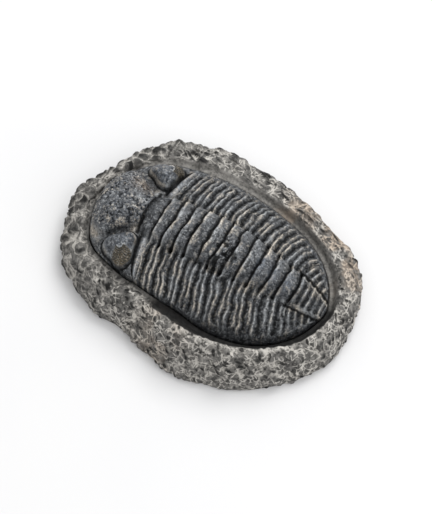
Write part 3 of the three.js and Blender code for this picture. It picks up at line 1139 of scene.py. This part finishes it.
    def lay_rings(self, skin: Skin, at: Plan, wear: Array, wander: Array) -> None:
        """Rings of the axis and double ridges of the flanks, with a pit beside each ring.

        Args:
            skin: The surface so far.
            at: Places of its points.
            wear: How far crests have stayed pale, from 0 to 1.
            wander: How far the lines stray along the body, in millimetres.
        """
        half = self.axis_half(at.x)
        on_axis = fade(np.abs(at.y) / half, *self.axis_edge)
        segment = (at.station - self.head_back + wander) / self.pitch - self.lag
        phase = np.mod(segment, 1)
        inside = np.where(segment < 0, on_axis * smoothstep(segment, *self.first_ring), 1.0)
        inside = inside * (segment < self.segments) * fade(np.abs(at.flank), *self.flank_end)
        off = (np.mod(phase + 0.5, 1) - 0.5) * self.pitch
        lines = np.maximum(self.front_ridge(off), self.second_ridge(phase, self.pitch))
        ridge = lerp(lines, self.ring_crest(off), on_axis)
        gaps = np.max([gap(phase, self.pitch) for gap in self.flank_gaps], axis=0)
        gap = lerp(gaps, self.ring_gap(phase, self.pitch), on_axis)
        relief = lerp(self.flank_relief(phase), self.ring_relief(phase), on_axis)
        pit = self.pit_across(np.abs(at.y) - half) * self.pit_along(phase, self.pitch) * wear
        skin.lay(
            inside * (relief - self.pit_depth * pit),
            crest=inside * ridge * wear,
            # Painted shade in the gaps between the lines and in the pits beside the rings.
            hollow=inside * np.maximum(self.gap_shade * gap, pit),
            blue=inside * on_axis * self.ring_slope(phase, self.pitch),
        )

    def lay_ribs(self, skin: Skin, at: Plan, wear: Array) -> None:
        """Thin ribs of the tail, the pale lines beside its axis and its plain border.

        Args:
            skin: The surface so far.
            at: Places of its points.
            wear: How far crests have stayed pale, from 0 to 1.
        """
        rib = (at.station - self.thorax_back) / self.rib_pitch
        inside = ((rib >= 0) & (rib < self.ribs)) * fade(np.abs(at.flank), *self.tail_border)
        off = (np.mod(rib, 1) - 0.5) * self.rib_pitch
        ridge = self.rib_ridge(off)
        beside = np.abs(at.y) - self.axis_half(at.x)
        tail = smoothstep(at.station, self.thorax_back - self.tail_ease, self.thorax_back)
        line = tail * self.tail_line(beside)
        between = self.rib_shade * inside * (1 - ridge)
        skin.lay(
            inside * (self.rib_rise * ridge - self.rib_drop) + self.tail_line_rise * line,
            crest=np.maximum(inside * self.rib_crest(off), self.tail_line_pale * line) * wear,
            # Painted shade between the ribs and in the furrows beside the tail's axis.
            hollow=np.maximum(between, tail * self.tail_furrow(beside)) * (1 - line),
        )

    def lay_head(self, skin: Skin, at: Plan) -> None:
        """The glabella, the neck furrow and knobs behind it, and the eyes."""
        ahead = at.x < self.glabella_back
        edge = np.abs(at.y) / np.maximum(self.glabella_half(at.x), self.glabella_least)
        beside = np.where(ahead, np.minimum(edge, 1), 1)
        dome = self.glabella_rise(at.x) * (1 - beside**self.glabella_power) ** self.glabella_roundness
        lobes = np.max([eye.height(eye.polar(at)[0]) for eye in self.eyes], axis=0)
        on_dome = ahead * fade(edge, *self.dome_edge) * smoothstep(at.x, *self.dome_front)
        left_front = smoothstep(-at.y, *self.dome_line_across) * fade(at.x, *self.dome_line_along)
        skin.lay(
            np.maximum(dome, lobes),
            blue=self.dome_blue * on_dome,
            bead=on_dome,
            bare=ahead * self.stain(at),
            crest=ahead * self.dome_line(edge) * left_front,
        )
        seam = self.seam(dome - lobes) * (dome > self.seam_least) * (lobes > self.seam_least)
        neck = self.neck(at.x) * (np.abs(at.y) < self.neck_half)
        knob_x, knob_y = self.knob
        knob = bell(np.hypot(at.x - knob_x, np.abs(at.y) - knob_y), self.knob_radius)
        skin.lay(
            self.knob_rise * knob - self.neck_depth * neck - self.seam_depth * seam,
            crest=self.knob_pale * knob,
            # Painted shade in the neck furrow and in the seam between glabella and eye lobes.
            hollow=np.maximum(self.neck_shade * neck, self.seam_shade * seam),
        )
        for eye in self.eyes:
            eye.lay(skin, at)

    def lay_cheeks(self, skin: Skin, at: Plan) -> None:
        """The raised back border of the cheeks and the furrow ahead of it."""
        share = self.head_share(at.station)
        cheek = (at.station <= self.head_back) * smoothstep(np.abs(at.y), *self.cheek_inner)
        cheek = cheek * fade(np.abs(at.flank), *self.cheek_outer)
        border = cheek * self.border(share)
        furrow = cheek * self.border_furrow(share)
        skin.lay(
            self.border_rise * border - self.border_depth * furrow,
            blue=border,
            crest=self.border_pale * border,
            # Painted shade in the furrow ahead of the cheek border.
            hollow=self.border_shade * furrow,
        )

    def stations(self) -> Array:
        """Stations of the rows of points, from the front of the head to the end of the tail."""
        head = np.linspace(0, 1, self.head_rows, endpoint=False) ** self.head_easing
        thorax = np.arange(self.segments * self.segment_rows) / self.segment_rows
        tail = np.arange(self.ribs * self.rib_rows + 1) / self.rib_rows
        return np.concatenate(
            [
                lerp(self.head_front, self.head_back, head),
                self.head_back + self.pitch * thorax,
                self.thorax_back + self.rib_pitch * tail,
                [(self.thorax_back + self.ribs * self.rib_pitch + self.tail_end) / 2, self.tail_end],
            ]
        )

    def dorsal(self) -> tuple[Array, Skin, Plan]:
        """The back of the body.

        Returns:
            A grid of points (rows, columns, 3), its skin and the plan of the points.
        """
        even = np.linspace(-1, 1, self.columns)
        shares = (even + np.sin(even * math.pi / 2)) / 2
        station, across = np.meshgrid(self.stations(), shares, indexing="ij")
        at = self.plan(station, across)
        skin = Skin(self.vault(at))
        flat = np.stack([at.x, at.y, skin.height], axis=-1).reshape(-1, 3)
        wear = smoothstep(self.noise.fractal(flat, self.pale), *self.pale_span).reshape(at.x.shape)
        wander = self.wander_reach * self.noise.fractal(flat, self.wander).reshape(at.x.shape)
        self.lay_axis(skin, at)
        self.lay_head(skin, at)
        self.lay_cheeks(skin, at)
        self.lay_rings(skin, at, wear, wander)
        self.lay_ribs(skin, at, wear)
        self.wear.lay(skin, at, flat)
        return np.stack([at.x, self.lean(at.x) + at.y, skin.height], axis=-1), skin, at

    @staticmethod
    def rim_of(rows: int, columns: int) -> Array:
        """Numbers of the points round the edge of a grid, anticlockwise seen from above."""
        number = np.arange(rows * columns).reshape(rows, columns)
        parts = [number[0, ::-1], number[1:-1, 0], number[-1], number[1:-1, -1][::-1]]
        return np.concatenate(parts)

    def build(self, finish: FossilFinish, lens_finish: LensFinish) -> tuple[Thing, Array]:
        """Make the body with its tubercles and lenses.

        Args:
            finish: Finish of the body.
            lens_finish: Finish of the lenses.

        Returns:
            The piece, and the rim of the body, shape (n, 3) in millimetres.
        """
        back, skin, at = self.dorsal()
        rows, columns = back.shape[:2]
        ring = self.rim_of(rows, columns)
        points = back.reshape(-1, 3)
        sole = points[ring] * (1, 1, 0) + (0, 0, self.seat)
        middle = sole.mean(axis=0, keepdims=True)
        below = len(points) + np.arange(len(ring))
        faces = [
            grid_quads(rows, columns, False),
            band(below, ring),
            fan(below, len(points) + len(ring), False),
        ]
        made = make_mesh("trilobite_body", np.concatenate([points, sole, middle]), faces, skin.marks)
        body_material = finish.material()
        values = {
            "Spacing": self.tubercle_spacing * MM,
            "Radius": self.tubercle_radius * MM,
            "Seed": self.tubercle_seed,
            "Body material": body_material,
            "Bead material": body_material,
        }
        TubercleTree().apply(made, values)
        lenses = self.build_lenses(back, at, lens_finish.material())
        both = [made, lenses]
        with bpy.context.temp_override(active_object=made, object=made, selected_editable_objects=both):
            bpy.ops.object.join()
        rim = points[ring]
        rim[:, 2] = self.rim_height(at.station.ravel()[ring])
        return made, rim

    def build_lenses(self, back: Array, at: Plan, material: Material) -> Thing:
        """Make the lenses of both eyes.

        Args:
            back: Grid of points of the body's back.
            at: Plan of those points.
            material: Material of the lenses.

        Returns:
            The lenses as one object.
        """
        normals = grid_normals(back, False).reshape(-1, 3)
        points = back.reshape(-1, 3)
        plan = np.stack([at.x.ravel(), at.y.ravel()], axis=1)
        sites = np.concatenate([eye.sites() for eye in self.eyes])
        nearest = np.array([np.argmin(np.sum((plan - site) ** 2, axis=1)) for site in sites])
        facing = normals[nearest]
        offset = np.concatenate([sites - plan[nearest], np.zeros((len(sites), 1))], axis=1)
        offset[:, 2] = -np.sum(offset * facing, axis=1) / np.maximum(facing[:, 2], self.lens_steepest)
        made = make_mesh("eye_lenses", points[nearest] + offset, [], {})
        ways = made.data.attributes.new("facing", "FLOAT_VECTOR", "POINT")
        ways.data.foreach_set("vector", facing.astype(np.float32).ravel())
        LensTree().apply(made, {"Radius": self.lens_radius * MM, "Bead material": material})
        return made


@dataclass(frozen=True)
class Strokes:
    """A layer of tool marks that are long one way."""

    length: float
    width: float
    heading: float
    dip: float
    seed: int

    def spread(self, places: Array) -> tuple[Array, Array, Array]:
        """Cell pattern of the layer at places (n, 3), in units of a stroke's width."""
        turn = math.radians(self.heading)
        tilt = math.radians(self.dip)
        level = math.cos(tilt)
        along = np.array([math.cos(turn) * level, math.sin(turn) * level, -math.sin(tilt)])
        aside = np.array([-math.sin(turn), math.cos(turn), 0.0])
        axes = np.stack([along / self.length, aside / self.width, np.cross(along, aside) / self.width])
        return Noise(self.seed).cells(places @ axes.T)


@dataclass
class Stone:
    """The stone: a flat-bottomed nodule with a hollow, a bank and a chiselled top."""

    sides: int = 720
    rows: int = 108
    seat: float = 5.0
    gap: float = 0.45
    drop: float = 0.8
    ovalness: float = 0.82
    outline: tuple[Pair, ...] = (
        (43.9, 0), (43.5, 7), (41.6, 13.8), (38, 19.4), (32.4, 23.4), (26, 26), (15, 29.8), (5, 31.4),
        (-5, 32.3), (-16.2, 31.5), (-22, 30), (-27.6, 27.4), (-31.8, 23), (-35.6, 18.2), (-38.4, 12.4),
        (-41.8, 6.6), (-43.9, 0), (-43.2, -6.9), (-40.4, -13.1), (-36.6, -18.6), (-31.5, -22.7),
        (-20, -27.4), (-14, -27.6), (-5, -29.9), (5.2, -32.2), (10.6, -32.2), (16, -30.6),
        (26.8, -26.6), (31.6, -22.9), (36.4, -18.4), (40.5, -13), (43.5, -6.8),
    )
    bank_rise: Curve = Curve(
        (
            (-180, 1.6), (-120, 1.2), (-90, 1.8), (-65, 4.6), (-40, 5.6), (-15, 4.2), (0, 2.8),
            (20, 3), (60, 2.6), (100, 1.2), (140, 1.2), (180, 1.6),
        )
    )
    brim_height: Curve = Curve(
        ((-180, 8), (-135, 5), (-90, 3), (-45, 3), (0, 4.6), (45, 7.2), (90, 9.4), (135, 9.2), (180, 8))
    )
    out: tuple[float, ...] = (0, 0.12, 0.22, 0.31, 0.44, 0.58, 0.7, 0.82, 0.93, 0.98, 1, 0.99, 0.97)
    bank: tuple[float, ...] = (0, 0.1, 0.75, 1)
    fall: tuple[float, ...] = (0.1, 0.26, 0.46, 0.68, 0.9)
    brim: tuple[float, ...] = (0.85, 0.5, 0.2, 0)
    lumps: tuple[float, ...] = (0, 0, 0.2, 0.5, 1, 1, 1, 1, 0.9, 0.5, 0.2, 0.1, 0)
    lump_sizes: tuple[Pair, ...] = ((6.5, 1.1), (3.3, 0.7))
    head_edge: Pair = (20, 31)
    far_edge: Pair = (11, 19)
    near_strokes: tuple[Strokes, Strokes] = (Strokes(4.2, 1.4, 20, 30, 21), Strokes(3.8, 1.35, -48, 35, 22))
    far_strokes: Strokes = Strokes(6.5, 1.5, -16, 4, 23)
    patch_size: float = 5.5
    patch_edge: Pair = (-0.12, 0.12)
    breaks: Layer = Layer(1.8, 31, 2)
    break_span: Pair = (-0.35, 0.35)
    ridge: Pair = (0.06, 0.22)
    ridge_rise: float = 0.34
    ridge_pale: float = 0.62
    ridge_fade: float = 0.3
    pan: Pair = (0.12, 0.5)
    pan_depth: float = 0.4
    pan_shades: Pair = (0.15, 0.6)
    cells: Noise = Noise(24)
    cell_size: float = 3.4
    cell_sway: float = 0.3
    sway_size: float = 1.7
    cell_border: Pair = (0.05, 0.2)
    border_rise: float = 0.3
    border_pale: float = 0.8
    border_from: float = 0.2
    cell_pan: Pair = (0.1, 0.5)
    cell_depth: float = 0.5
    cell_shades: Pair = (0.35, 1)
    head_left: Pair = (98, 118)
    head_right: Pair = (125, 150)
    head_tooth: float = 1.6
    head_bare: float = 0.75
    tooth_rings: Pair = (1.8, 3.1)
    base_rings: Pair = (11, 12)
    moat_rings: Pair = (1.6, 2.8)
    moat_height: float = 0.04
    moat_pale: float = 0.22
    # Rings of the hollow's wall that get painted shade on the left.
    wall_rings: Pair = (2.2, 2.9)
    lip: Hump = Hump(3.1, 0.5)
    lip_start: Pair = (5, 25)
    lip_end: Pair = (80, 98)
    lip_pale: float = 0.72
    right_edge: Pair = (-5, 15)
    blush_start: Pair = (0, 30)
    blush_end: Pair = (55, 80)
    left_blush: Hump = Hump(-92, 14, 0.5)
    blush: Layer = Layer(6, 90, 2)
    blush_span: Pair = (-0.3, 0.3)
    chips: Layer = Layer(3.6, 11, 3)
    chip_height: float = 0.5
    grain: Layer = Layer(0.8, 51, 2)
    grain_height: float = 0.1
    noise: Noise = Noise(9)

    @staticmethod
    def towards(ring: Array, turn: Array) -> tuple[Array, Array]:
        """Distance and height of a closed ring of points (n, 3) in each direction."""
        angle = np.arctan2(ring[:, 1], ring[:, 0])
        order = np.argsort(angle)
        x, y, z = ring[order].T
        distance = np.interp(turn, angle[order], np.hypot(x, y), period=math.tau)
        height = np.interp(turn, angle[order], z, period=math.tau)
        return distance, height

    def girth(self, turn: Array) -> Array:
        """Distance of the outline from the middle in each direction."""
        x, y = np.array(self.outline, float).T
        angle = np.arctan2(y, x)
        order = np.argsort(angle)
        laps = [angle[order] + lap * math.tau for lap in (-1, 0, 1)]
        reach = np.tile(np.hypot(x, y)[order], 3)
        return Curve(tuple(zip(np.concatenate(laps), reach)))(turn)

    def lump_height(self, x: Array, y: Array) -> Array:
        """Smooth lumps of the top."""
        total = np.zeros_like(x)
        for size, height in self.lump_sizes:
            u, v = x / size, y / size
            i, j = np.floor(u), np.floor(v)
            s, t = smoothstep(u - i, 0, 1), smoothstep(v - j, 0, 1)
            near = lerp(self.lattice(i, j), self.lattice(i + 1, j), s)
            far = lerp(self.lattice(i, j + 1), self.lattice(i + 1, j + 1), s)
            total += height * lerp(near, far, t)
        return total

    @staticmethod
    def lattice(i: Array, j: Array) -> Array:
        """Fixed heights from -1 to 1 that look random."""
        step_i, step_j = LATTICE_STEPS
        wave = np.sin(i * step_i + j * step_j) * LATTICE_GAIN
        return 2 * (wave - np.floor(wave)) - 1

    def section(self, rim: Array) -> tuple[Array, Array, Array]:
        """The plain shape of the stone's top and side.

        Args:
            rim: Rim of the body in the hollow, shape (n, 3).

        Returns:
            A grid of points (rows, sides, 3) from the hollow's edge to the base, the share of
            the way out of each row and the direction of each side in degrees.
        """
        even = (np.arange(self.sides) + 0.5) / self.sides * math.tau - math.pi
        turn = np.arctan2(self.ovalness * np.sin(even), np.cos(even))
        degrees = np.degrees(turn)
        reach, height = self.towards(rim, turn)
        edge = height - self.drop
        top = edge + self.bank_rise(degrees)
        brim = self.brim_height(degrees)
        levels = [lerp(edge, top, share) for share in self.bank]
        levels += [lerp(top, brim, share) for share in self.fall]
        levels += [brim * share for share in self.brim]
        inner = reach + self.gap
        distances = [lerp(inner, self.girth(turn), share) for share in self.out]
        steps = np.hypot(np.diff(distances, axis=0), np.diff(levels, axis=0)).mean(axis=1)
        along = np.concatenate([[0], np.cumsum(steps)])
        even_rows = np.linspace(0, along[-1], self.rows)
        place = [Curve(tuple(zip(along, column)))(even_rows) for column in np.array(distances).T]
        level = [Curve(tuple(zip(along, column)))(even_rows) for column in np.array(levels).T]
        distance = np.array(place).T
        x = distance * np.cos(turn)
        y = distance * np.sin(turn)
        share = Curve(tuple(zip(along, self.lumps)))(even_rows)[:, None]
        z = np.array(level).T + share * self.lump_height(x, y)
        out = Curve(tuple(zip(along, np.arange(len(self.out)))))(even_rows)
        return np.stack([x, y, z], axis=-1), out, degrees

    def chisel(self, places: Array) -> Skin:
        """Relief and marks of the tool work.

        Args:
            places: Points of the surface, shape (n, 3).

        Returns:
            Depth outwards and marks at each point.
        """
        x, y = places[:, 0], places[:, 1]
        head = smoothstep(-x, *self.head_edge)
        far = smoothstep(y, *self.far_edge) * (1 - head)
        turned = smoothstep(self.noise.value(places / self.patch_size), *self.patch_edge)
        near = (1 - head) * (1 - far)
        broken = smoothstep(self.noise.fractal(places, self.breaks), *self.break_span)
        skin = Skin(np.zeros(len(places)))
        weights = (near * turned, near * (1 - turned), far)
        for strokes, weight in zip((*self.near_strokes, self.far_strokes), weights):
            away, lead, number = strokes.spread(places)
            ridge = fade(lead, *self.ridge) * broken
            pan = fade(away, *self.pan)
            skin.lay(
                weight * (self.ridge_rise * ridge - self.pan_depth * pan),
                pale=self.ridge_pale * weight * ridge * (1 - self.ridge_fade * far),
                pit=weight * pan * smoothstep(number, *self.pan_shades),
            )
        sway = self.cell_sway * self.noise.value(places / self.sway_size)[:, None]
        _, lead, number = self.cells.cells(places / self.cell_size + sway)
        border = fade(lead, *self.cell_border)
        pan = smoothstep(lead, *self.cell_pan)
        skin.lay(
            head * (self.border_rise * border - self.cell_depth * pan),
            pale=self.border_pale * head * border * (number > self.border_from),
            pit=head * pan * lerp(*self.cell_shades, number),
        )
        return skin

    def lay_all(self, points: Array, out: Array, degrees: Array) -> Skin:
        """Tool work, chips and patches over the whole surface, and painted shade on the left wall of the
        hollow round the fossil.

        Args:
            points: Grid of points (rows, sides, 3).
            out: Number of the section's ring at each row, from 0 at the hollow to 12 at the base.
            degrees: Direction of each side.

        Returns:
            Height outwards and marks, each (rows, sides).
        """
        shape = points.shape[:2]
        flat = points.reshape(-1, 3)
        tooled = self.chisel(flat)
        ring = np.repeat(out[:, None], shape[1], axis=1)
        turn = np.repeat(degrees[None, :], shape[0], axis=0)
        left_head = smoothstep(-turn, *self.head_left)
        right_head = smoothstep(turn, *self.head_right)
        at_head = np.where(turn < 0, left_head, right_head)
        tooth = smoothstep(ring + self.head_tooth * at_head, *self.tooth_rings)
        worked = tooth * fade(ring, *self.base_rings)
        skin = Skin(worked * tooled.height.reshape(shape))
        for mark, amount in tooled.marks.items():
            skin.marks[mark] = amount.reshape(shape) * tooth
        chips, grain, blush = (
            self.noise.fractal(flat, layer).reshape(shape) for layer in (self.chips, self.grain, self.blush)
        )
        moat = fade(ring, *self.moat_rings)
        lip = self.lip(ring) * smoothstep(-turn, *self.lip_start) * fade(-turn, *self.lip_end)
        right = smoothstep(turn, *self.right_edge)
        blushed = smoothstep(turn, *self.blush_start) * fade(turn, *self.blush_end) + self.left_blush(turn)
        relief = self.chip_height * chips + self.grain_height * grain
        skin.lay(
            worked * relief + self.moat_height * moat * grain,
            pale=np.maximum(self.lip_pale * lip, self.moat_pale * moat * right),
            # Painted shade on the hollow's left wall next to the fossil, away from the head end and the
            # lip.
            pit=fade(ring, *self.wall_rings) * (1 - right) * (1 - lip) * (1 - at_head),
            warm=blushed * smoothstep(blush, *self.blush_span),
            tooled=tooth * (1 - self.head_bare * smoothstep(-points[..., 0], *self.head_edge)),
        )
        return skin

    def build(self, rim: Array, finish: StoneFinish) -> Thing:
        """Make the stone round the rim of a body.

        Args:
            rim: Rim of the body in the hollow, shape (n, 3).
            finish: Finish of the stone.

        Returns:
            The piece.
        """
        points, out, degrees = self.section(rim)
        skin = self.lay_all(points, out, degrees)
        points = points - grid_normals(points, True) * skin.height[..., None]
        points[..., 2] = np.maximum(points[..., 2], 0)
        points[-1, :, 2] = 0
        floor = points[0] * (1, 1, 0) + (0, 0, self.seat)
        count = self.rows * self.sides
        first = np.arange(self.sides)
        lower = count + first
        last = count - self.sides + first
        faces = [
            grid_quads(self.rows, self.sides, True),
            band(first, lower),
            fan(lower, count + self.sides, True),
            fan(last, count + self.sides + 1, False),
        ]
        middles = np.array([[0, 0, self.seat], [0, 0, 0]], float)
        every = np.concatenate([points.reshape(-1, 3), floor, middles])
        made = make_mesh("chiselled_stone", every, faces, skin.marks)
        made.data.materials.append(finish.material())
        return made


@dataclass(frozen=True)
class SoftLight:
    """A square light: its turn from the camera and elevation in degrees, side in metres, watts."""

    name: str
    turn: float
    elevation: float
    size: float
    power: float


@dataclass
class Studio:
    """A pale floor, soft lights and the camera of the photo."""

    target: Colour = (2.4, 0.1, 12.0)
    azimuth: float = 29.2
    elevation: float = 66.0
    distance: float = 380.0
    lens: float = 95.74
    floor_size: float = 3.0
    sky: float = 0.95
    near_clip: float = 0.01
    light_distance: float = 0.9
    lights: tuple[SoftLight, ...] = (
        SoftLight("key", 150, 52, 0.5, 6.0),
        SoftLight("fill", 60, 45, 0.8, 3.0),
    )
    finish: FloorFinish = FloorFinish()

    def heading(self, azimuth: float, elevation: float) -> Vector:
        """Unit vector from the target towards a viewer or light."""
        turn, rise = math.radians(azimuth), math.radians(elevation)
        level = math.cos(rise)
        return Vector((math.sin(turn) * level, -math.cos(turn) * level, math.sin(rise)))

    def add_camera(self) -> None:
        """Set the camera at the photo's angle."""
        data = bpy.data.cameras.new("camera")
        data.lens = self.lens
        data.clip_start = self.near_clip
        camera = bpy.data.objects.new("camera", data)
        bpy.context.scene.collection.objects.link(camera)
        back = self.heading(self.azimuth, self.elevation)
        camera.location = Vector(self.target) * MM + back * self.distance * MM
        camera.rotation_euler = back.to_track_quat("Z", "Y").to_euler()
        bpy.context.scene.camera = camera

    def add_light(self, soft: SoftLight) -> None:
        """Add a soft light that faces the object."""
        data = bpy.data.lights.new(soft.name, "AREA")
        data.size = soft.size
        data.energy = soft.power
        light = bpy.data.objects.new(soft.name, data)
        bpy.context.scene.collection.objects.link(light)
        back = self.heading(self.azimuth + soft.turn, soft.elevation)
        light.location = Vector(self.target) * MM + back * self.light_distance
        light.rotation_euler = back.to_track_quat("Z", "Y").to_euler()

    def add_floor(self) -> None:
        """Lay the floor under the stone."""
        half = self.floor_size / 2
        corners = [(-half, -half, 0), (half, -half, 0), (half, half, 0), (-half, half, 0)]
        mesh = bpy.data.meshes.new("floor")
        mesh.from_pydata(corners, [], [(0, 1, 2, 3)])
        mesh.materials.append(self.finish.material())
        floor = bpy.data.objects.new("floor", mesh)
        bpy.context.scene.collection.objects.link(floor)

    def build(self) -> None:
        """Set up floor, sky, lights, camera and plain colours."""
        scene = bpy.context.scene
        world = bpy.data.worlds.new("sky")
        world.use_nodes = True
        background = world.node_tree.nodes["Background"]
        background.inputs["Color"].default_value = (1.0, 1.0, 1.0, 1.0)
        background.inputs["Strength"].default_value = self.sky
        scene.world = world
        scene.view_settings.view_transform = "Standard"
        self.add_floor()
        for soft in self.lights:
            self.add_light(soft)
        self.add_camera()


def settle(piece: Thing, node: str) -> None:
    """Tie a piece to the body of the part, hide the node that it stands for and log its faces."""
    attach(piece, "root")
    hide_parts(node)
    log.info("%s: %d faces for node %s", piece.name, len(piece.data.polygons), node)


def main() -> None:
    """Build both pieces and the studio, and note the sizes."""
    logging.basicConfig(level=logging.INFO, format="%(name)s %(message)s")
    body, rim = Trilobite().build(FossilFinish(), LensFinish())
    settle(body, "trilobite")
    stone = Stone().build(rim, StoneFinish())
    settle(stone, "stone")
    Studio().build()


if __name__ == "__main__":
    main()
